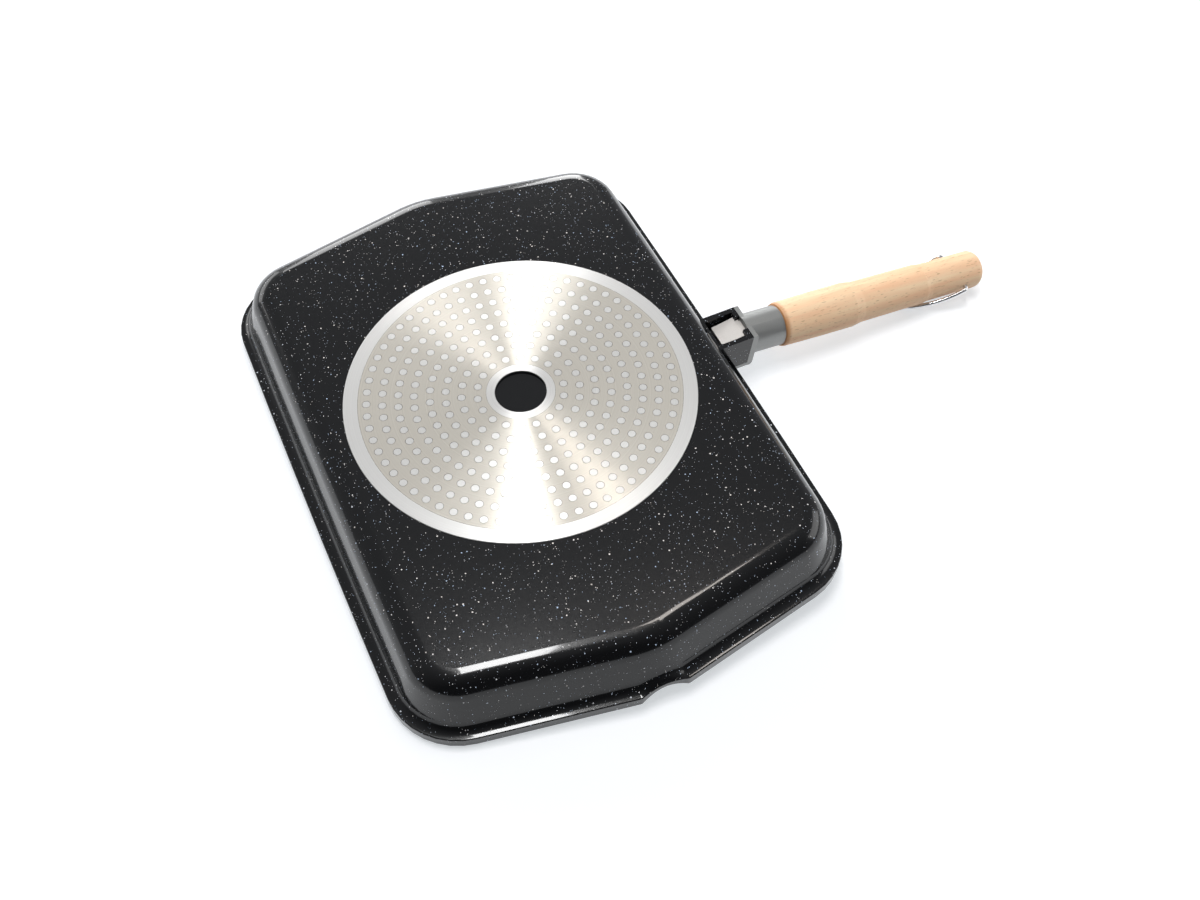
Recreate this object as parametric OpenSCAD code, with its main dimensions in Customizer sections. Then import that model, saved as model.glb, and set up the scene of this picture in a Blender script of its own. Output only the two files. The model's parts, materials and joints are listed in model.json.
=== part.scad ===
// Die-cast flip pan, shown base up: the rim plane is z = 0, the hob side is +Z, the handle runs along +X and
// the pouring spout is at -Y. Sizes are millimetres.

/* [Pan body] */
// Rim width between the middles of the two long sides
rim_w = 237; // [224:0.2:250]
// Bow of the long sides, at their middle
side_bow = 0.8; // [0.3:0.1:1.6]
// Half length of the long sides, measured to the sharp corner
side_half = 146.6; // [132:0.2:160]
// Angle by which the end edges rise towards the middle point
end_angle = 10.7; // [6:0.1:15]
// Outline radius at the four corners of the rim
corner_r = 36.5; // [35:0.5:44]
// Outline radius at the two middle points of the rim
point_r = 70; // [55:1:90]
// Height from the rim plane to the hob face of the pad
pan_h = 33.6; // [31:0.2:40]
// Coated base lies this much below the hob face
pad_proud = 0.4; // [0.2:0.1:0.8]
// Thickness of the rim flange
flange_t = 6; // [5:0.1:7]
// Distance from the rim edge to the foot of the wall, at the rim plane
wall_foot = 3.5; // [3:0.1:4.5]
// Slope of the wall away from vertical
wall_slope = 16.3; // [13:0.1:19]
// Outer radius between wall and base
shoulder_r = 13; // [10:0.5:15]
// Rounding of the upper rim edge
edge_r = 0.6; // [0.4:0.1:1.2]
// Flat width between the rounded edge and the fillet that rises to the wall
ledge_w = 0.2; // [0.05:0.05:0.8]
// Wall thickness
wall_t = 3; // [2.4:0.1:3.4]
// Floor thickness under the coated base
floor_t = 4; // [3.4:0.1:4.6]

/* [Spout] */
// Width of the arch cut through the rim
spout_w = 24.4; // [16:0.4:25]
// Height of the arch above the rim plane
spout_h = 4.6; // [3:0.1:5.4]
// Metal left over the arch
spout_skin = 2.9; // [2.4:0.1:3.4]
// Distance by which the lip stands back from the outline
spout_cut = 2.5; // [0:0.1:3]

/* [Induction base] */
// Outer diameter of the base pad
pad_d = 180; // [160:1:186]
// Hole in the middle of the pad
pad_hole_d = 26.4; // [20:0.2:32]
// Depth of the round recess that takes the pad, under the coated base
recess_depth = 1; // [0.8:0.1:1.4]
// Width of the plain outer ring of the pad
outer_ring_w = 7.4; // [5:0.2:10]
// Width of the plain inner ring of the pad
inner_ring_w = 4.4; // [3:0.2:6]
// Thickness of the perforated steel plate
plate_t = 0.6; // [0.4:0.1:0.8]
// Stud diameter
stud_d = 3.9; // [3:0.1:4.3]
// Clearance between a stud and its hole in the plate, all round
stud_gap = 0.18; // [0.1:0.01:0.22]
// Distance from the edges of the plate to the middle of the nearest studs
stud_margin = 4.5; // [4.2:0.1:5]
// Studs in each ring, from the inside out
stud_counts = [18, 24, 32, 38, 46, 52, 58, 64];
// Turn of each ring, as a share of the angle between its studs
stud_turns = [0.38, -0.16, -0.2, 0.26, 0.21, -0.32, 0.14, -0.4];

/* [Handle mount] */
// Lug width
lug_w = 23.4; // [22:0.2:26]
// Height of the lug's upper face above the rim plane
lug_top = 22.4; // [21:0.2:23]
// Height of the lug's lower face above the rim plane
lug_low = 2.4; // [2:0.1:3.5]
// Distance the lug's end face stands out from the rim, on the handle axis
lug_out = 9.7; // [8.8:0.1:14]
// Thickness of the lug's end wall
lug_wall = 2.8; // [2.4:0.1:3.2]
// Thickness of the lug's side walls
lug_side = 2.9; // [2.4:0.1:3.4]
// Height of the pocket floor above the rim plane
pocket_floor = 5.7; // [4.9:0.2:6.5]
// Anchor block width
anchor_w = 13.8; // [12.6:0.2:15]
// Anchor block length in front of the end wall
anchor_l = 11.8; // [10.6:0.1:12.4]
// Width of the anchor's neck in the notch of the end wall
neck_w = 8.6; // [7.6:0.2:10]
// Height of the anchor block's upper face at the end wall
anchor_top = 20.4; // [19:0.1:20.8]
// Slope of the anchor block's upper face
anchor_slope = 10; // [0:0.5:12]
// Clearance round the anchor block
anchor_gap = 0.3; // [0.2:0.05:0.4]

/* [Handle] */
// Angle by which the handle dips below the rim plane
handle_tilt = 6.8; // [4:0.2:7.6]
// Height of the handle axis above the rim plane at the lug's end face
handle_z = 12; // [11.6:0.1:12.6]
// Thickness of the ferrule's end plate
plate_end_t = 3.2; // [2.6:0.1:4]
// Length of the foot that reaches under the lug
foot_l = 7.2; // [5:0.2:8]
// Ferrule tube diameter
ferrule_d = 22.2; // [20:0.2:23]
// Length of the ferrule from lug to wood
ferrule_l = 22.4; // [18:0.2:28]
// Diameter of the ferrule's spigot inside the wood
spigot_d = 14; // [12:0.2:16]
// Length of the spigot
spigot_l = 14; // [10:0.5:20]
// Overall length of the wooden grip
grip_l = 135; // [120:1:150]
// Grip diameter at the front
grip_front_d = 24.6; // [23.6:0.2:26]
// Grip diameter at the end of the first section
grip_first_d = 25.4; // [24:0.2:27]
// Grip diameter at the middle section
grip_middle_d = 23.4; // [22:0.2:23.6]
// Grip diameter at the rear section
grip_rear_d = 21.6; // [20.4:0.2:22]
// Length of the first section
first_l = 49.4; // [44:0.2:54]
// Length of the middle section
middle_l = 46.5; // [42:0.5:50]
// Rounding of the butt
butt_r = 5; // [3:0.5:6]
// Diameter of the tie bolt
bolt_d = 6; // [5:0.1:7]
// Clearance round the bolt's shank
bolt_gap = 0.25; // [0.15:0.05:0.5]
// Head diameter of the tie bolt
head_d = 10; // [9:0.2:10.6]
// Head height of the tie bolt
head_h = 3.6; // [3:0.1:4]
// Depth of the counterbore in the butt
counterbore = 6.5; // [5.5:0.1:7]
// Thickness of the washer under the bolt head
washer_t = 1.2; // [0.8:0.1:1.6]

/* [Hanging bail] */
// Wire diameter
wire_d = 2.5; // [2:0.1:3]
// Distance from the butt to the bail's cross holes
bail_back = 14.2; // [13:0.2:18]
// Radial clearance of the wire in its holes
wire_gap = 0.08; // [0.03:0.01:0.1]
// Depth of the cross holes in the wood, from the axis
hole_in = 5.6; // [5.3:0.1:6.2]
// Half width of the bail, to the wire's middle
bail_half = 14.4; // [14.4:0.1:16]
// Length of the bail from its pivot, to the wire's middle
bail_l = 36.5; // [33:0.5:40]
// Radius of the bail's closed end, to the wire's middle
bail_end_r = 8; // [6:0.2:9]
// Bend radius where the wire turns into the grip
bail_bend = 2.4; // [2:0.1:2.6]
// Angle of the folded bail below the grip's axis
bail_angle = 21.3; // [21.2:0.1:24]
// Sideways play taken up by the bail as it hangs
bail_shift = 1.1; // [0:0.1:1.1]

/* [Hidden] */
$fn = 64;
eps = 0.01;
base_z = pan_h - pad_proud;
pan_side = rim_w / 2;
end_rise = tan(end_angle) * pan_side;
lug_reach = pan_side + lug_out;

// ---- outline of the pan: every ring of the shell is one inset of the same rounded six-sided outline ----
function unit(a) = [cos(a), sin(a)];
// Middle of the arc that rounds the corner p between two edges with outward normals at a and b.
function arc_middle(p, r, a, b) = p - r * (unit(a) + unit(b)) / (1 + cos(b - a));
// One arc's stations: [middle, radius, angle, share of the spout's lift].
function arc(m, r, a, b, n) = [for (i = [0:n]) [m, r, a + (b - a) * i / n, 0]];
function spout_share(t) = max(0, 1 - pow(point_r * t * PI / 180 / (spout_w / 2), 2));
function spout_arc(m, r, a, b, n) =
    [for (i = [0:n]) let (t = a + (b - a) * i / n) [m, r, t, spout_share(t - 270)]];

corner = [pan_side, side_half];
// Each long side is an arc of a very large circle: half its length, its radius and how far its middle lies off.
side_run = arc_middle(corner, corner_r, 0, 90 - end_angle).y;
bow_r = (pow(side_run, 2) + pow(side_bow, 2)) / (2 * side_bow);
bow_x = bow_r - pan_side;
// Angle at which the side passes into the corner's arc, which also touches the end edge.
bow_reach = (pan_side + bow_x) * sin(end_angle) + side_half * cos(end_angle) - corner_r;
bow_angle = 90 - end_angle - acos(bow_reach / (bow_r - corner_r));
corner_at = (bow_r - corner_r) * unit(bow_angle) - [bow_x, 0];
point_at = arc_middle([0, side_half + end_rise], point_r, 90 - end_angle, 90 + end_angle);
// Stations between the ends of a side, which the corners' arcs bring.
function side(m, a) = [for (i = [1:4]) [m, bow_r, a + bow_angle * (2 * i / 5 - 1), 0]];
stations = concat(
    arc(corner_at, corner_r, bow_angle, 90 - end_angle, 8),
    arc(point_at, point_r, 90 - end_angle, 90 + end_angle, 4),
    arc([-corner_at.x, corner_at.y], corner_r, 90 + end_angle, 180 - bow_angle, 8),
    side([bow_x, 0], 180),
    arc(-corner_at, corner_r, 180 + bow_angle, 270 - end_angle, 8),
    spout_arc(-point_at, point_r, 270 - end_angle, 270 + end_angle, 24),
    arc([corner_at.x, -corner_at.y], corner_r, 270 + end_angle, 360 - bow_angle, 8),
    side([-bow_x, 0], 360));
n_stations = len(stations);

// ---- section of the shell: [inset from the rim edge, height, lift and set-back at the spout] ----
function wall_in(z) = wall_foot + z * tan(wall_slope);
shoulder_z = base_z - shoulder_r;
shoulder_in = wall_in(shoulder_z) + shoulder_r / cos(wall_slope);
shoulder_inner_r = shoulder_r - wall_t;
inner_floor = base_z - floor_t;
inner_shoulder_z = inner_floor - shoulder_inner_r;
inner_shoulder_in = wall_in(inner_shoulder_z) + (wall_t + shoulder_inner_r) / cos(wall_slope);
// The fillet starts at the end of the ledge and runs into the wall, which gives its radius.
fillet_in = edge_r + ledge_w;
fillet_r = (wall_in(flange_t) - fillet_in) / (1 / cos(wall_slope) - tan(wall_slope));
fillet_z = flange_t + fillet_r;
roof_lift = spout_h - 1.4;
edge_lift = spout_h + spout_skin - flange_t;
fade_h = 13;
function fade(z) = pow(max(0, 1 - z / fade_h), 2);
function roof(d, z) =
    (edge_lift + (roof_lift - edge_lift) * min(1, max(0, (d - edge_r) / 3))) * fade(z - flange_t);
function edge(z) = spout_h + (edge_lift - spout_h) * z / flange_t;
function back(d) = spout_cut * pow(max(0, 1 - d / 7), 2);

outer_section = concat(
    [for (i = [0:8]) let (a = i * (90 - wall_slope) / 8)
        let (d = shoulder_in - shoulder_r * sin(a), z = shoulder_z + shoulder_r * cos(a)) [d, z, roof(d, z), 0]],
    [for (z = [16, 13]) [wall_in(z), z, roof(wall_in(z), z), 0]],
    [for (i = [0:6]) let (a = wall_slope + i * (90 - wall_slope) / 6)
        let (d = fillet_in + fillet_r * cos(a), z = fillet_z - fillet_r * sin(a)) [d, z, roof(d, z), back(d)]],
    [for (i = [0:4]) let (a = i * 22.5)
        let (z = flange_t - edge_r * (1 - cos(a))) [edge_r * (1 - sin(a)), z, edge(z), spout_cut]],
    [[0, 0.3, edge(0.3), spout_cut], [0.3, 0, spout_h, spout_cut]]);
rim_in = wall_in(0) + wall_t / cos(wall_slope);
inner_section = concat(
    [for (i = [0:3]) let (a = i * 30) [rim_in - 1.2 * (1 - sin(a)), 1.2 * (1 - cos(a)), spout_h, 0]],
    [for (z = [3, 6, 9, 12, 15]) [wall_in(z) + wall_t / cos(wall_slope), z, spout_h * fade(z), 0]],
    [for (i = [7:-1:0]) let (a = i * (90 - wall_slope) / 7)
        [inner_shoulder_in - shoulder_inner_r * sin(a), inner_shoulder_z + shoulder_inner_r * cos(a), 0, 0]]);
section = concat(outer_section, inner_section);
n_section = len(section);

function ring(p) = [for (s = stations) let (r = s[1] - p[0] - p[3] * s[3])
    [s[0].x + r * cos(s[2]), s[0].y + r * sin(s[2]), p[1] + p[2] * s[3]]];

module shell() {
    points = [for (p = section) each ring(p)];
    sides = [for (j = [0:n_section - 2], i = [0:n_stations - 1])
        let (k = (i + 1) % n_stations, a = j * n_stations, b = a + n_stations)
        each [[a + i, b + i, b + k], [a + i, b + k, a + k]]];
    top = [for (i = [n_stations - 1:-1:0]) i];
    inside = [for (i = [0:n_stations - 1]) (n_section - 1) * n_stations + i];
    polyhedron(points = points, faces = concat(sides, [top, inside]), convexity = 8);
}

// The handle's own frame: its origin is the middle of the lug's end face and +X runs along the grip.
module at_handle() {
    translate([lug_reach, 0, handle_z]) rotate([0, handle_tilt, 0]) children();
}

// Distance of the lug's end face from the pan's middle at height z, moved in by t along the handle axis.
function lug_face(z, t = 0) = lug_reach + (z - handle_z) * tan(handle_tilt) - t / cos(handle_tilt);

// The lug's root lies 1.5 mm inside the wall.
module lug() {
    rotate([90, 0, 0]) linear_extrude(height = lug_w, center = true)
        polygon([[pan_side - wall_in(lug_low) - 1.5, lug_low], [lug_face(lug_low), lug_low],
                 [lug_face(lug_top), lug_top], [pan_side - wall_in(lug_top) - 1.5, lug_top]]);
}

// Pocket for the anchor, open at the top; its inner end leans with the pan's wall.
module pocket() {
    rotate([90, 0, 0]) linear_extrude(height = lug_w - 2 * lug_side, center = true)
        polygon([[lug_face(handle_z, lug_wall) - anchor_l - 0.4, pocket_floor],
                 [lug_face(pocket_floor, lug_wall), pocket_floor],
                 [lug_face(lug_top + 1, lug_wall), lug_top + 1],
                 [pan_side - wall_in(lug_top + 1) + 1.8, lug_top + 1]]);
}

// Notch in the lug's end wall, open at the top, which takes the anchor's neck.
module notch() {
    rotate([90, 0, 0]) linear_extrude(height = neck_w + 2 * anchor_gap, center = true)
        polygon([[lug_face(pocket_floor, lug_wall + 1), pocket_floor],
                 [lug_face(pocket_floor, -1), pocket_floor],
                 [lug_face(lug_top + 1, -1), lug_top + 1], [lug_face(lug_top + 1, lug_wall + 1), lug_top + 1]]);
}

module pan_body() {
    color([0.06, 0.06, 0.065])
    difference() {
        union() {
            shell();
            lug();
        }
        translate([0, 0, base_z - recess_depth]) cylinder(d = pad_d + 0.3, h = recess_depth + 1);
        pocket();
        notch();
    }
}

plate_r = pad_d / 2 - outer_ring_w;
plate_hole_r = pad_hole_d / 2 + inner_ring_w;
n_rings = len(stud_counts);
function stud_ring(i) = plate_hole_r + stud_margin
    + i * (plate_r - plate_hole_r - 2 * stud_margin) / (n_rings - 1);
stud_at = [for (i = [0:n_rings - 1], j = [0:stud_counts[i] - 1])
    stud_ring(i) * unit((j + stud_turns[i]) * 360 / stud_counts[i])];

module base_pad() {
    low = base_z - recess_depth;
    deck = pan_h - plate_t;
    color([0.86, 0.86, 0.85])
    union() {
        rotate_extrude()
            polygon([[pad_hole_d / 2, low], [pad_d / 2, low], [pad_d / 2, pan_h - 0.3],
                     [pad_d / 2 - 0.3, pan_h], [plate_r, pan_h], [plate_r, deck], [plate_hole_r, deck],
                     [plate_hole_r, pan_h], [pad_hole_d / 2 + 0.2, pan_h], [pad_hole_d / 2, pan_h - 0.2]]);
        for (p = stud_at) translate([p.x, p.y, deck - 0.2]) cylinder(d = stud_d, h = plate_t + 0.2);
    }
}

module induction_plate() {
    color([0.8, 0.77, 0.72])
    translate([0, 0, pan_h - plate_t])
    difference() {
        cylinder(r = plate_r - 0.1, h = plate_t);
        translate([0, 0, -1]) cylinder(r = plate_hole_r + 0.1, h = plate_t + 2);
        for (p = stud_at) translate([p.x, p.y, -1]) cylinder(d = stud_d + 2 * stud_gap, h = plate_t + 2);
    }
}

// Cast T-shaped block that the tie bolt pulls against the lug's end wall.
module anchor_block() {
    low = pocket_floor;
    back = lug_face(handle_z, lug_wall) - anchor_l;
    function top_at(x) = anchor_top - (lug_face(anchor_top, lug_wall) - x) * tan(anchor_slope);
    color([0.78, 0.76, 0.74])
    difference() {
        union() {
            rotate([90, 0, 0]) linear_extrude(height = anchor_w, center = true)
                polygon([[back, low], [lug_face(low, lug_wall), low],
                         [lug_face(anchor_top, lug_wall), anchor_top], [back, top_at(back)]]);
            rotate([90, 0, 0]) linear_extrude(height = neck_w, center = true)
                polygon([[lug_face(low, lug_wall + 1), low], [lug_face(low, 0.9), low],
                         [lug_face(anchor_top, 0.9), anchor_top],
                         [lug_face(anchor_top, lug_wall + 1), anchor_top - tan(anchor_slope)]]);
            rotate([90, 0, 0]) linear_extrude(height = neck_w - 2.2, center = true)
                polygon([[lug_face(low, 1.2), low], [lug_face(low, 0.2), low],
                         [lug_face(anchor_top, 0.2), anchor_top], [lug_face(anchor_top, 1.2), anchor_top]]);
        }
        at_handle() rotate([0, -90, 0]) translate([0, 0, -2]) cylinder(d = bolt_d + 0.1, h = 40);
    }
}

module ferrule() {
    plate_low = -handle_z / cos(handle_tilt);
    plate_high = (lug_top - handle_z) / cos(handle_tilt);
    color([0.6, 0.6, 0.6])
    difference() {
        union() {
            at_handle() rotate([90, 0, 0]) linear_extrude(height = lug_w, center = true)
                polygon([[0, plate_low], [plate_end_t - 1.2, plate_low], [plate_end_t, plate_low + 1.6],
                         [plate_end_t, plate_high - 0.8], [plate_end_t - 0.6, plate_high], [0, plate_high]]);
            rotate([90, 0, 0]) linear_extrude(height = lug_w, center = true)
                polygon([[lug_face(0) - foot_l, 0.2], [lug_face(0) + 1, 0.2], [lug_face(lug_low) + 1, lug_low],
                         [lug_face(0) - foot_l, lug_low]]);
            at_handle() rotate([0, 90, 0]) cylinder(d = ferrule_d, h = ferrule_l);
            at_handle() rotate([0, 90, 0]) cylinder(d = spigot_d, h = ferrule_l + spigot_l);
        }
        at_handle() rotate([0, 90, 0]) translate([0, 0, -5]) cylinder(d = bolt_d + 2 * bolt_gap, h = 80);
    }
}

grip_end = ferrule_l + grip_l;
first_end = ferrule_l + first_l;
middle_end = first_end + middle_l;
pivot_at = grip_end - bail_back;

module grip() {
    f = grip_front_d / 2;
    a = grip_first_d / 2;
    m = grip_middle_d / 2;
    r = grip_rear_d / 2;
    bore = bolt_d / 2 + bolt_gap;
    color([0.95, 0.8, 0.6])
    at_handle()
    difference() {
        rotate([0, 90, 0]) rotate_extrude()
            polygon(concat(
                [[spigot_d / 2 + 0.1, ferrule_l], [f - 1.5, ferrule_l], [f - 0.45, ferrule_l + 0.5],
                 [f, ferrule_l + 1.8], [(f + a) / 2 + 0.15, ferrule_l + first_l / 2], [a, first_end - 3.8],
                 [a - 0.35, first_end - 1.6], [m + 0.3, first_end + 0.6], [m, first_end + 2.2],
                 [m - 0.3, middle_end - 2], [r + 0.2, middle_end], [r, middle_end + 2]],
                [for (i = [0:6]) let (t = i * 15) [r - butt_r * (1 - cos(t)), grip_end - butt_r * (1 - sin(t))]],
                [[head_d / 2 + 0.7, grip_end], [head_d / 2 + 0.7, grip_end - counterbore],
                 [bore, grip_end - counterbore], [bore, ferrule_l + spigot_l + 0.5],
                 [spigot_d / 2 + 0.1, ferrule_l + spigot_l + 0.5]]));
        for (s = [-1, 1]) translate([pivot_at, 0, 0]) rotate([-90 * s, 0, 0])
            translate([0, 0, hole_in - bail_shift - 0.2]) cylinder(d = wire_d + 2 * wire_gap, h = 20);
    }
}

module tie_bolt() {
    seat = grip_end - counterbore + washer_t;
    back = -lug_wall - anchor_l + 2;
    color([0.75, 0.75, 0.76])
    at_handle() rotate([0, 90, 0])
    difference() {
        union() {
            translate([0, 0, back]) cylinder(d = bolt_d, h = seat - back + 0.5);
            translate([0, 0, seat]) cylinder(d = head_d, h = head_h);
        }
        translate([-20, -0.8, seat + head_h - 1.4]) cube([40, 1.6, 5]);
    }
}

module bolt_washer() {
    color([0.75, 0.75, 0.76])
    at_handle() rotate([0, 90, 0]) translate([0, 0, grip_end - counterbore])
    difference() {
        cylinder(d = head_d + 1, h = washer_t);
        translate([0, 0, -1]) cylinder(d = bolt_d + 2 * bolt_gap, h = washer_t + 2);
    }
}

// The bail's frame: its origin is the pivot, +X runs along the folded loop and the loop lies in X and Y.
end_x = bail_l - bail_end_r;
side_rise = end_x - bail_bend;
side_r = (pow(side_rise, 2) + pow(bail_half, 2) - pow(bail_end_r, 2)) / (2 * (bail_half - bail_end_r));
side_turn = atan2(side_rise, side_r - bail_half);
bend_y = bail_half - bail_bend;
wire_sides = 24;

// Middle line of a bend on radius r about c, as [place, heading].
function wire_arc(c, r, a, b, n) = [for (i = [0:n]) let (h = a + (b - a) * i / n) [c + r * unit(h + 90), h]];
wire_path = concat(
    [[[0, bend_y - 2], 90]],
    wire_arc([bail_bend, bend_y], bail_bend, 90, 7.5, 11),
    wire_arc([bail_bend, bail_half - side_r], side_r, 0, -side_turn, 6),
    wire_arc([end_x, 0], bail_end_r, -side_turn - 8, side_turn - 172, 13),
    wire_arc([bail_bend, side_r - bail_half], side_r, side_turn - 180, -180, 6),
    wire_arc([bail_bend, -bend_y], bail_bend, -187.5, -270, 11),
    [[[0, 2 - bend_y], -270]]);

// Wire swept along the middle line, as one closed skin.
module wire() {
    r = wire_d / 2 - 0.01;
    n = wire_sides;
    m = len(wire_path);
    points = [for (p = wire_path, i = [0:n - 1]) let (t = i * 360 / n)
        [p[0].x + r * cos(t) * cos(p[1] - 90), p[0].y + r * cos(t) * sin(p[1] - 90), r * sin(t)]];
    sides = [for (j = [0:m - 2], i = [0:n - 1]) let (k = (i + 1) % n, a = j * n, b = a + n)
        each [[a + i, b + k, b + i], [a + i, a + k, b + k]]];
    polyhedron(points = points, faces = concat(sides,
        [[for (i = [n - 1:-1:0]) i], [for (i = [0:n - 1]) (m - 1) * n + i]]), convexity = 6);
}

module bail() {
    color([0.8, 0.8, 0.8])
    at_handle() translate([pivot_at, bail_shift, 0]) rotate([0, 180 - bail_angle, 0]) union() {
        wire();
        for (s = [-1, 1]) rotate([-90 * s, 0, 0])
            translate([0, 0, hole_in + 0.3]) cylinder(d = wire_d, h = bend_y - 1.5 - hole_in - 0.3);
    }
}

pan_body();
base_pad();
induction_plate();
anchor_block();
ferrule();
grip();
tie_bolt();
bolt_washer();
bail();
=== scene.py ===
# %% [markdown]
# # A flip pan half, base up, with a wooden handle
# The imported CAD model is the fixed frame: the rim plane is z = 0, the base looks up, the handle runs along +X
# and the pouring spout is at -Y. Everything below is in metres in that same frame, so a piece goes where the
# CAD says without any fitting.

import json
from math import atan2, cos, degrees, pi, radians, sin

import bpy
from mathutils import Matrix, Vector

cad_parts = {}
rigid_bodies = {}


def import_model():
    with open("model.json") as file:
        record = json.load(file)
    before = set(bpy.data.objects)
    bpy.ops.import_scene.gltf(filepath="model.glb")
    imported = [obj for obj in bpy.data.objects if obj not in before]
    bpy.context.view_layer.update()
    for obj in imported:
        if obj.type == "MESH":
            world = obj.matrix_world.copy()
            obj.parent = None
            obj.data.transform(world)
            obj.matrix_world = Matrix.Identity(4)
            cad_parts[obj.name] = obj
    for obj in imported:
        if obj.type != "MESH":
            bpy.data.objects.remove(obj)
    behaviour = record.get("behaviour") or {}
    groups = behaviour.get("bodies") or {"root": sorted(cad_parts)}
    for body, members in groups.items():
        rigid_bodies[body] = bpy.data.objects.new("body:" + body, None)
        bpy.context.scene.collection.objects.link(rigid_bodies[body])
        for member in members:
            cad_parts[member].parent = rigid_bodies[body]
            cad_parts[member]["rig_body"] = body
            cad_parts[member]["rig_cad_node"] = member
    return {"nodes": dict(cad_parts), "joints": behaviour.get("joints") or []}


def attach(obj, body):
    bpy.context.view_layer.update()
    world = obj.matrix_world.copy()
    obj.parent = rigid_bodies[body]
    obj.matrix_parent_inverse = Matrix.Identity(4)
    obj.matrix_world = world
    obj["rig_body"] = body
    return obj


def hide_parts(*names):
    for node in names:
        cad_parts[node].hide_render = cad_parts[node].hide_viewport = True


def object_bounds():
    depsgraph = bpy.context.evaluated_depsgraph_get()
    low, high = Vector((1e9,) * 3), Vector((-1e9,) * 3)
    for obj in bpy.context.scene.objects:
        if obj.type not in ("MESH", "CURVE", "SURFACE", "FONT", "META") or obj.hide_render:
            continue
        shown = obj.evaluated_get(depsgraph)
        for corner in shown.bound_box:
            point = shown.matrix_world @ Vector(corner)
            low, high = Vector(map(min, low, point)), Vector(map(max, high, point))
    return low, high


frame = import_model()
nodes = frame["nodes"]
cad_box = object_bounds()
print("nodes:", sorted(nodes))

# %% [markdown]
# ## Camera
# The view was solved from the rings of studs and the rim's outline. It is given as a photographer would give
# it: how far round, how high, a slight roll, and how far away the lens stands. The alternative, a Track To
# constraint, has no roll and would put the handle a few pixels off.

# %% Camera
turn, height, roll = radians(-24.363), radians(54.954), radians(0.774)
aside, below, away = 0.039936, 0.010564, 0.702454
focal_px, photo_px, sensor_mm = 1330.46, 1200, 36
back = Vector((sin(turn) * cos(height), -cos(turn) * cos(height), sin(height)))
level = Vector((cos(turn), sin(turn), 0))
upright = back.cross(level)
right = level * cos(roll) - upright * sin(roll)
up = level * sin(roll) + upright * cos(roll)
place = right * aside - up * below + back * away
bpy.ops.object.camera_add(location=place)
camera = bpy.context.object
camera.rotation_euler = Matrix((right, up, back)).transposed().to_euler()
camera.data.sensor_width = sensor_mm
camera.data.lens = sensor_mm * focal_px / photo_px
camera.data.clip_start = 0.01
bpy.context.scene.camera = camera
print("camera at", [round(v, 4) for v in place])

# %% [markdown]
# ## Table
# The pan lies upside down: it stands on the rim's edge opposite the handle and on the low end of the handle,
# so the table isn't parallel to the rim. Its tilt is measured on the model, from the rim's edge down to the
# lowest point of the grip and the bail. A fixed angle is shorter to write, but is wrong once a size changes.

# %% Table
sheet, hair = 8, 0.0001
edge_x = cad_box[0][0]
low = max(atan2(-v.co.z, v.co.x - edge_x) for n in ("grip", "bail") for v in nodes[n].data.vertices)
bpy.ops.mesh.primitive_plane_add(size=sheet, location=(edge_x, 0, -hair), rotation=(0, low, 0))
table = bpy.context.object
table.name = "table"
print("table tilts", round(degrees(low), 3), "degrees")


# %% [markdown]
# ## Shader helpers
# A material is a few nodes and what feeds them. Each link could be a line of its own, but a reader would then
# have to collect them. In the helpers below an input takes a plain value or the socket that feeds it, so that
# a material reads from top to bottom.

# %% Shader helpers
def material(name):
    """A new material with its Principled shader; returns the material, its tree and the shader."""
    m = bpy.data.materials.new(name)
    m.use_nodes = True
    return m, m.node_tree, m.node_tree.nodes["Principled BSDF"]


def feed(node, values):
    """Gives a node's inputs, by name or number, their plain values or the sockets that feed them."""
    for key, value in values.items():
        if isinstance(value, bpy.types.NodeSocket):
            node.id_data.links.new(value, node.inputs[key])
        else:
            node.inputs[key].default_value = value


def put(tree, kind, values, **settings):
    """Adds a node of a kind, sets its options and feeds its inputs."""
    node = tree.nodes.new(kind)
    for key, value in settings.items():
        setattr(node, key, value)
    feed(node, values)
    return node


def maths(tree, operation, first, second):
    """One sum on two values."""
    return put(tree, "ShaderNodeMath", {0: first, 1: second}, operation=operation).outputs[0]


def between(tree, value, first, last):
    """Goes from the first number to the last as the value goes from 0 to 1."""
    return put(tree, "ShaderNodeMapRange", {"Value": value, "To Min": first, "To Max": last}).outputs[0]


def blend(tree, first, second, factor):
    """Mixes two colours, which a Mix node takes as inputs 6 and 7 and gives back as output 2."""
    return put(tree, "ShaderNodeMix", {"Factor": factor, 6: first, 7: second}, data_type="RGBA").outputs[2]


def own_place(tree):
    """Where a point lies in the CAD frame, because every piece has its place in its mesh."""
    return tree.nodes.new("ShaderNodeTexCoord").outputs["Object"]


def from_axis(tree, here):
    """How far a point is from the z axis."""
    flat = put(tree, "ShaderNodeVectorMath", {0: here, 1: (1, 1, 0)}, operation="MULTIPLY")
    return put(tree, "ShaderNodeVectorMath", {0: flat.outputs[0]}, operation="LENGTH").outputs["Value"]


def dress(piece, finish):
    """Gives a piece its one material."""
    piece.data.materials.clear()
    piece.data.materials.append(finish)
    print(piece.name, "gets", finish.name)


# %% [markdown]
# ## White paper
# The table is white paper: a matt surface, plus a little light of its own for the camera and for reflections,
# so that it reads as white while it still takes the pan's shadow. Stronger lamps would whiten it too, but
# they would also grey the black coating. Light Path tells which rays come from the camera or a mirror.

# %% White paper
def lit_rays(tree):
    """1 for what the camera sees, also in a mirror or through glass, and 0 for light that bounces."""
    rays = tree.nodes.new("ShaderNodeLightPath").outputs
    mirrored = maths(tree, "MAXIMUM", rays["Is Camera Ray"], rays["Is Glossy Ray"])
    return maths(tree, "MAXIMUM", mirrored, rays["Is Transmission Ray"])


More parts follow.
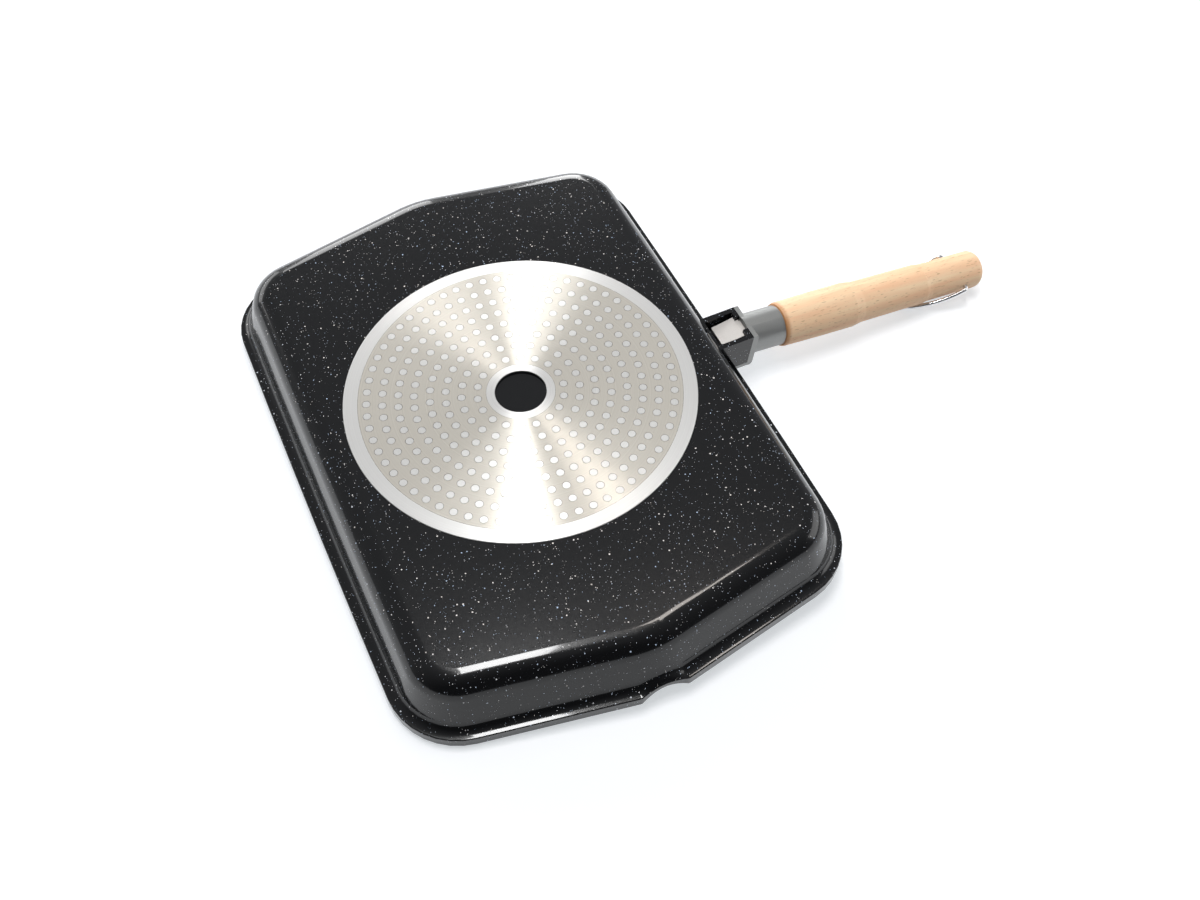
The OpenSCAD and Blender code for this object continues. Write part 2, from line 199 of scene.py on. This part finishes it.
own_light = 0.56
paper, tree, shader = material("white_paper")
feed(shader, {
    "Base Color": (0.56, 0.56, 0.57, 1), "Roughness": 0.9, "Specular IOR Level": 0.1,
    "Emission Color": (0.93, 0.97, 1, 1),
    "Emission Strength": maths(tree, "MULTIPLY", lit_rays(tree), own_light)})
dress(table, paper)


# %% [markdown]
# ## Light
# A black glossy shell shows its room, so the room was read off its reflections. A narrow bright strip hangs
# almost overhead and draws the hard white line along the near edges of the base. A window in two panes stands
# low behind the pan and gives the studs and the disc their two bright fans. A pale wall on the left gives the
# soft line on that side, a weak wall on the right fills the handle, and a small warm panel under the ceiling
# lights the wood from above. The room on the camera's side is dark, which keeps the near walls black, and the
# table lights them from below. One large softbox is the other choice, but it would grey the whole shell.

# %% Lamps
def lamp(name, bearing, high, far, size, glow, colour=(1, 1, 1)):
    """An area lamp that looks at the pan, from a bearing, +Y towards +X, and a height in degrees.
    Glow is how bright its face is, so its power follows from its size."""
    out = cos(radians(high))
    toward = Vector((sin(radians(bearing)) * out, cos(radians(bearing)) * out, sin(radians(high))))
    bpy.ops.object.light_add(type="AREA", location=toward * far)
    light = bpy.context.object
    light.name = name
    light.rotation_euler = toward.to_track_quat("Z", "Y").to_euler()
    light.data.shape = "RECTANGLE"
    light.data.size, light.data.size_y = size
    light.data.color = colour
    light.data.energy = glow * pi * size[0] * size[1]
    print(name, "power", round(light.data.energy, 1), "W")


lamp("window", 23.9, 20, 2.0, (0.32, 1.1), 10)
lamp("second pane", 5.9, 20, 2.0, (0.42, 1.1), 6)
lamp("pale wall", -23, 16, 2.0, (1.3, 0.6), 2.5)
lamp("right wall", 105, 18, 2.0, (1.4, 0.9), 2.2)
lamp("overhead strip", 13, 84, 1.6, (0.18, 0.72), 30)
lamp("ceiling panel", 60, 70, 1.6, (0.4, 0.14), 14, (1, 0.93, 0.87))

# %% Room
to_window, dark_side, window_side = (0.35, 0.94, 0), 0.08, 0.38
world = bpy.data.worlds.new("room")
bpy.context.scene.world = world
world.use_nodes = True
sky = world.node_tree
look = sky.nodes.new("ShaderNodeTexCoord").outputs["Generated"]
ahead = put(sky, "ShaderNodeVectorMath", {0: look, 1: to_window}, operation="DOT_PRODUCT")
dim = put(sky, "ShaderNodeMapRange", {"Value": ahead.outputs["Value"], "From Min": -0.75, "From Max": 0.1,
                                      "To Min": dark_side, "To Max": window_side})
room = sky.nodes["Background"]
feed(room, {"Color": (0.95, 0.97, 1, 1), "Strength": dim.outputs[0]})
white = put(sky, "ShaderNodeBackground", {"Color": (1, 1, 1, 1), "Strength": 1})
rays = sky.nodes.new("ShaderNodeLightPath").outputs
pick = put(sky, "ShaderNodeMixShader", {0: rays["Is Camera Ray"], 1: room.outputs[0], 2: white.outputs[0]})
feed(sky.nodes["World Output"], {"Surface": pick.outputs[0]})
print("room strength from", dark_side, "to", window_side)


# %% [markdown]
# ## Pan shell
# The real body is one casting under a sprayed coating, so every edge is a little round and the shell flows
# from the base over the shoulder into the rim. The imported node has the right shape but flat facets. Modelling
# it again could only move it away from the CAD. So a copy of it is welded, its sharp edges at the handle lug
# get a small round, and its normals are weighted by face area, which keeps the base flat up to the shoulder.

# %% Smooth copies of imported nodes
weld_gap, flat_angle = 2e-6, radians(0.2)
edge_round, sharp_angle = 0.0003, radians(35)


def only(piece):
    """Selects one object and makes it active."""
    bpy.ops.object.select_all(action="DESELECT")
    piece.select_set(True)
    bpy.context.view_layer.objects.active = piece


def welded_copy(node, name):
    """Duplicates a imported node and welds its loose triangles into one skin."""
    only(nodes[node])
    bpy.ops.object.duplicate()
    piece = bpy.context.object
    piece.name = piece.data.name = name
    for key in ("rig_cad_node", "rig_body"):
        if key in piece:
            del piece[key]
    bpy.ops.mesh.customdata_custom_splitnormals_clear()
    bpy.ops.object.mode_set(mode="EDIT")
    bpy.ops.mesh.select_all(action="SELECT")
    bpy.ops.mesh.remove_doubles(threshold=weld_gap)
    bpy.ops.mesh.dissolve_limited(angle_limit=flat_angle)
    bpy.ops.mesh.select_all(action="DESELECT")
    bpy.ops.object.mode_set(mode="OBJECT")
    print(name, "has", len(piece.data.polygons), "faces")
    return piece


def rounded(piece):
    """Rounds the sharp edges and weights the normals, then applies both."""
    only(piece)
    bevel = piece.modifiers.new("round", "BEVEL")
    bevel.width, bevel.segments = edge_round, 2
    bevel.limit_method, bevel.angle_limit = "ANGLE", sharp_angle
    bevel.miter_outer = "MITER_ARC"
    bpy.ops.object.modifier_apply(modifier="round")
    bpy.ops.object.shade_smooth()
    weigh = piece.modifiers.new("weigh", "WEIGHTED_NORMAL")
    weigh.mode, weigh.weight, weigh.keep_sharp = "FACE_AREA", 50, False
    bpy.ops.object.modifier_apply(modifier="weigh")
    print(piece.name, "rounded by", edge_round * 1000, "mm:", len(piece.data.polygons), "faces")


shell = welded_copy("pan_body", "pan_shell")
rounded(shell)
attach(shell, "pan")
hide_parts("pan_body")

# %% [markdown]
# ## Handle mount and bail
# The ferrule and the block in the lug are castings with broken edges, so their copies are rounded too. The
# bail is bent from round wire: its facets only need smooth shading, which leaves the wire's cut ends crisp.

# %% Ferrule, anchor block and bail
ferrule = welded_copy("ferrule", "ferrule_casting")
rounded(ferrule)
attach(ferrule, "pan")
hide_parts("ferrule")

block = welded_copy("anchor_block", "anchor_casting")
rounded(block)
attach(block, "pan")
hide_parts("anchor_block")

bail = welded_copy("bail", "bail_wire_loop")
only(bail)
bpy.ops.object.shade_smooth_by_angle(angle=radians(50))
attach(bail, "bail")
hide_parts("bail")


# %% [markdown]
# ## Speckled coating
# The coating is a black non-stick spray with a fine and a coarse layer of pale specks, the largest 0.9 mm
# wide. Specks could be painted as a picture, but a cell pattern in three dimensions covers the curved
# shoulder without seams: each cell holds one ball of its own size and brightness, and the surface shows the
# balls that it cuts. A smallest size below zero leaves some cells with nothing to see. The floor of the
# recess in the middle of the base has no specks. The spray itself is satin under a thin glossy film, hence
# the coat.

# %% Speckle group
def new_group(name, inputs, outputs):
    """A shader group with inputs (kind, name, value) and outputs (kind, name).
    Returns the group, the sockets that its inputs give, and the node that takes its outputs."""
    group = bpy.data.node_groups.new(name, "ShaderNodeTree")
    for kind, label, value in inputs:
        socket = group.interface.new_socket(label, in_out="INPUT", socket_type="NodeSocket" + kind)
        if value is not None:
            socket.default_value = value
    for kind, label in outputs:
        group.interface.new_socket(label, in_out="OUTPUT", socket_type="NodeSocket" + kind)
    return group, group.nodes.new("NodeGroupInput").outputs, group.nodes.new("NodeGroupOutput")


unseen, solid_share = 0.002, 0.8
speckle, given, result = new_group(
    "speckle",
    [("Vector", "Vector", None), ("Float", "Cells", 500), ("Float", "Smallest", 0.1),
     ("Float", "Largest", 0.3), ("Float", "Fade", 1.5)],
    [("Float", "Mask"), ("Float", "Hue")])
cells = put(speckle, "ShaderNodeTexVoronoi", {"Vector": given["Vector"], "Scale": given["Cells"]},
            feature="F1")
drawn = put(speckle, "ShaderNodeSeparateColor", {0: cells.outputs["Color"]}).outputs
size = between(speckle, drawn[0], given["Smallest"], given["Largest"])
edge = maths(speckle, "MAXIMUM", size, unseen)
core = maths(speckle, "MULTIPLY", edge, solid_share)
ball = put(speckle, "ShaderNodeMapRange",
           {"Value": cells.outputs["Distance"], "From Min": edge, "From Max": core})
bright = maths(speckle, "POWER", drawn[1], given["Fade"])
feed(result, {"Mask": maths(speckle, "MULTIPLY", ball.outputs[0], bright), "Hue": drawn[2]})
print("speckle group has", len(speckle.nodes), "nodes")

# %% Coating material
def speck_layer(tree, here, per_metre, smallest, largest, fade):
    """One layer of specks, so many cells to the metre, with the specks' sizes as a share of a cell."""
    values = {"Vector": here, "Cells": per_metre, "Smallest": smallest, "Largest": largest, "Fade": fade}
    return put(tree, "ShaderNodeGroup", values, node_tree=speckle).outputs


bare_radius = 0.0136
coating, tree, shader = material("black_spray")
here = own_place(tree)
fine = speck_layer(tree, here, 900, -0.05, 0.23, 0.8)
coarse = speck_layer(tree, here, 420, -0.12, 0.19, 0.15)
specks = maths(tree, "MAXIMUM", fine["Mask"], coarse["Mask"])
outside = maths(tree, "GREATER_THAN", from_axis(tree, here), bare_radius)
seen = maths(tree, "MULTIPLY", specks, outside)
cool, warm, black = (0.6, 0.76, 1, 1), (1, 0.94, 0.88, 1), (0.003, 0.0032, 0.004, 1)
tint = blend(tree, cool, warm, coarse["Hue"])
peel = put(tree, "ShaderNodeTexNoise", {"Vector": here, "Scale": 420, "Detail": 2}).outputs["Fac"]
bump = put(tree, "ShaderNodeBump", {"Strength": 0.03, "Distance": 0.0003, "Height": peel})
feed(shader, {
    "Base Color": blend(tree, black, tint, seen), "Roughness": between(tree, peel, 0.17, 0.22),
    "Normal": bump.outputs[0], "Specular IOR Level": 0.2, "Coat Weight": 0.56, "Coat Roughness": 0.05})
dress(shell, coating)

# %% [markdown]
# ## Turned and brushed metal
# The base is faced on a lathe, so the plate and the rings carry fine concentric marks. They spread a
# highlight outwards from the middle, which is the bright fan on the disc. The marks are noise read along the
# radius, and the shader's anisotropy follows the same circles. A picture of rings would show its pixels from
# close by. The marks also scatter a part of the light evenly, which a metallic share below one gives. Round
# each stud runs a very fine gap. It is in the mesh, and below the turned face the colour is darkened with
# depth as painted shade, or the gap's walls shine.

# %% Turning marks group
turned, given, result = new_group(
    "turning_marks", [("Vector", "Vector", None), ("Float", "Marks", 900)], [("Float", "Value")])
line = maths(turned, "MULTIPLY", from_axis(turned, given["Vector"]), given["Marks"])
rings = put(turned, "ShaderNodeTexNoise", {"W": line, "Scale": 1, "Detail": 3, "Roughness": 0.7},
            noise_dimensions="1D")
feed(result, {"Value": rings.outputs["Fac"]})
print("turning marks group has", len(turned.nodes), "nodes")

# %% Plate and pad
gap_z, face_z, painted_depth_shade = 0.03325, 0.0335, 0.06


def turned_metal(name, colours, rough, anisotropy, marks, depth, metallic):
    """Concentric brushed metal for a piece whose middle is on the z axis."""
    m, tree, shader = material(name)
    here = own_place(tree)
    mark = put(tree, "ShaderNodeGroup", {"Vector": here, "Marks": marks}, node_tree=turned).outputs["Value"]
    z = put(tree, "ShaderNodeSeparateXYZ", {0: here}).outputs[2]
    # painted shade: below the turned face the colour darkens with depth, so the gaps round the studs look dark
    face = put(tree, "ShaderNodeMapRange",
               {"Value": z, "From Min": gap_z, "From Max": face_z, "To Min": painted_depth_shade}).outputs[0]
    shade = put(tree, "ShaderNodeVectorMath", {0: blend(tree, *colours, mark), "Scale": face},
                operation="SCALE")
    around = put(tree, "ShaderNodeTangent", {}, direction_type="RADIAL", axis="Z")
    bump = put(tree, "ShaderNodeBump", {"Strength": 0.2, "Distance": depth, "Height": mark})
    feed(shader, {
        "Base Color": shade.outputs[0], "Roughness": between(tree, mark, *rough), "Normal": bump.outputs[0],
        "Tangent": around.outputs[0], "Metallic": metallic, "Anisotropic": anisotropy,
        "Anisotropic Rotation": 0.25})
    return m


plate_metal = turned_metal(
    "perforated_plate", ((0.55, 0.52, 0.455, 1), (0.77, 0.73, 0.66, 1)), rough=(0.22, 0.28),
    anisotropy=0.96, marks=1500, depth=0.00002, metallic=0.42)
pad_metal = turned_metal(
    "turned_pad", ((0.64, 0.635, 0.62, 1), (0.8, 0.795, 0.78, 1)), rough=(0.32, 0.4),
    anisotropy=0.85, marks=1100, depth=0.00003, metallic=0.4)
dress(nodes["induction_plate"], plate_metal)
dress(nodes["base_pad"], pad_metal)


# %% [markdown]
# ## Plain metals
# The ferrule is blasted grey, the block is a pale casting, and the bolt, its washer and the bail are bright.
# They differ only in colour, gloss and grain, so one function makes them all. Noise in three dimensions needs
# no unwrapping, as a picture would.

# %% Cast and bright metals
def cast_metal(name, colour, rough, metallic, grain, depth):
    """Metal with a fine even grain from blasting or casting; grain is how many of its spots go in a metre."""
    m, tree, shader = material(name)
    spots = put(tree, "ShaderNodeTexNoise",
                {"Vector": own_place(tree), "Scale": grain, "Detail": 4, "Roughness": 0.6}).outputs["Fac"]
    darker = tuple(c * 0.86 for c in colour) + (1,)
    paler = tuple(min(1, c * 1.14) for c in colour) + (1,)
    bump = put(tree, "ShaderNodeBump", {"Strength": 0.3, "Distance": depth, "Height": spots})
    feed(shader, {
        "Base Color": blend(tree, darker, paler, spots), "Normal": bump.outputs[0],
        "Roughness": between(tree, spots, rough - 0.06, rough + 0.06), "Metallic": metallic})
    return m


zinc = cast_metal("zinc_steel", (0.62, 0.62, 0.63), 0.3, 1, 1500, 0.00002)
dress(nodes["tie_bolt"], zinc)
dress(nodes["bolt_washer"], zinc)
dress(ferrule, cast_metal("blasted_casting", (0.3, 0.305, 0.3), 0.42, 0.75, 2400, 0.00005))
dress(block, cast_metal("plain_casting", (0.5, 0.48, 0.46), 0.5, 0.6, 1800, 0.00005))
dress(bail, cast_metal("bright_wire", (0.75, 0.75, 0.76), 0.16, 1, 600, 0.00001))

# %% [markdown]
# ## Beech
# The grip is turned beech: cream to pink, with faint bands and short dark flecks that all run along the
# handle, and a burnt brown ring at its front where the hot ferrule ends. A Wave texture gives bands too, but
# they come out as even as stripes, so bands and flecks are noise that is drawn out along the grain. It is
# read in the handle's own frame: a Mapping node first turns the coordinates by the handle's tilt.

# %% Beech group
pink, cream, brown = (0.97, 0.6, 0.36, 1), (1, 0.73, 0.47, 1), (0.5, 0.28, 0.12, 1)
beech, given, result = new_group(
    "beech", [("Vector", "Vector", None)], [("Color", "Color"), ("Float", "Height")])


def stretched(vector, along, across, detail, rough):
    """Noise drawn out along the handle."""
    squeezed = put(beech, "ShaderNodeVectorMath", {0: vector, 1: (along, across, across)},
                   operation="MULTIPLY")
    return put(beech, "ShaderNodeTexNoise", {"Vector": squeezed.outputs[0], "Scale": 1, "Detail": detail,
                                             "Roughness": rough}).outputs["Fac"]


bands = put(beech, "ShaderNodeValToRGB", {0: stretched(given["Vector"], 14, 260, 4, 0.6)})
for stop, position, colour in zip(bands.color_ramp.elements, (0.36, 0.64), (pink, cream)):
    stop.position = position
    stop.color = colour
fleck = put(beech, "ShaderNodeMapRange", {"Value": stretched(given["Vector"], 260, 1500, 1, 0.5),
                                          "From Min": 0.63, "From Max": 0.71, "To Max": 0.55}).outputs[0]
feed(result, {"Color": blend(beech, bands.outputs[0], brown, fleck), "Height": fleck})
print("beech group has", len(beech.nodes), "nodes")

# %% Grip material
root_x, root_z = 0.1282, 0.012
burn_ends, burn_deepest, burn_share = 0.0262, 0.0226, 0.8
burnt = (0.55, 0.22, 0.06, 1)
bail_eye = frame["joints"][0]["pos_m"]
dip = atan2(root_z - bail_eye[2], bail_eye[0] - root_x)
wood, tree, shader = material("oiled_beech")
from_root = put(tree, "ShaderNodeVectorMath", {0: own_place(tree), 1: (root_x, 0, root_z)},
                operation="SUBTRACT")
handle = put(tree, "ShaderNodeMapping", {"Vector": from_root.outputs[0], "Rotation": (0, -dip, 0)},
             vector_type="POINT").outputs[0]
grain = put(tree, "ShaderNodeGroup", {"Vector": handle}, node_tree=beech).outputs
along = put(tree, "ShaderNodeSeparateXYZ", {0: handle}).outputs[0]
burn = put(tree, "ShaderNodeMapRange", {"Value": along, "From Min": burn_ends, "From Max": burn_deepest,
                                        "To Max": burn_share}, interpolation_type="SMOOTHSTEP")
bump = put(tree, "ShaderNodeBump", {"Strength": 0.3, "Distance": -0.0002, "Height": grain["Height"]})
feed(shader, {
    "Base Color": blend(tree, grain["Color"], burnt, burn.outputs[0]), "Roughness": 0.5,
    "Normal": bump.outputs[0]})
dress(nodes["grip"], wood)
print("handle axis dips", round(degrees(dip), 2), "degrees")

# %% [markdown]
# ## Close
# The colours are written for the Standard view.

# %% Finish
bpy.context.scene.view_settings.view_transform = "Standard"
